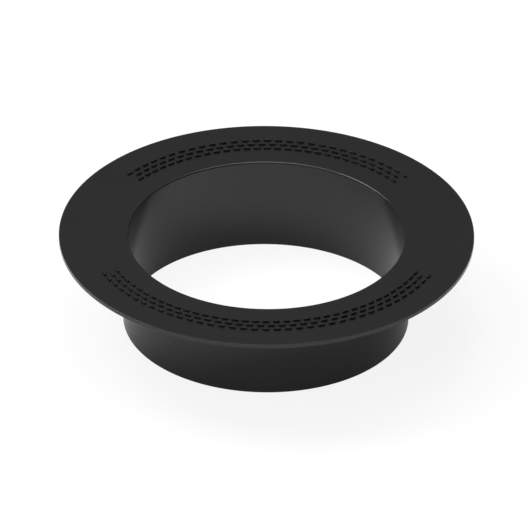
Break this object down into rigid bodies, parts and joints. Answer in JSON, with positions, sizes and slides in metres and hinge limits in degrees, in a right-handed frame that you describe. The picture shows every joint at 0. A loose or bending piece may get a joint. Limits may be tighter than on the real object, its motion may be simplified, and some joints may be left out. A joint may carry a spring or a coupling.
{
  "type": "puddle flange",
  "caption": "Flat round plastic flange with a short thin-walled open tube below it, which slips over a drain pipe and carries a floor's waterproof membrane.",
  "frame": {"origin": "centre of the ring that the tube's free end makes, on the plane it stands on", "axes": "+Z along the bore's axis, from the tube's free end up to the flange's top face; the part is the same all the way round, so X and Y are any two square directions"},
  "size_m": [0.166, 0.166, 0.0386],
  "materials": {
    "black_plastic": "satin, as moulded"
  },
  "bodies": {
    "root": {"puddle_flange": "black_plastic"}
  },
  "joints": []
}
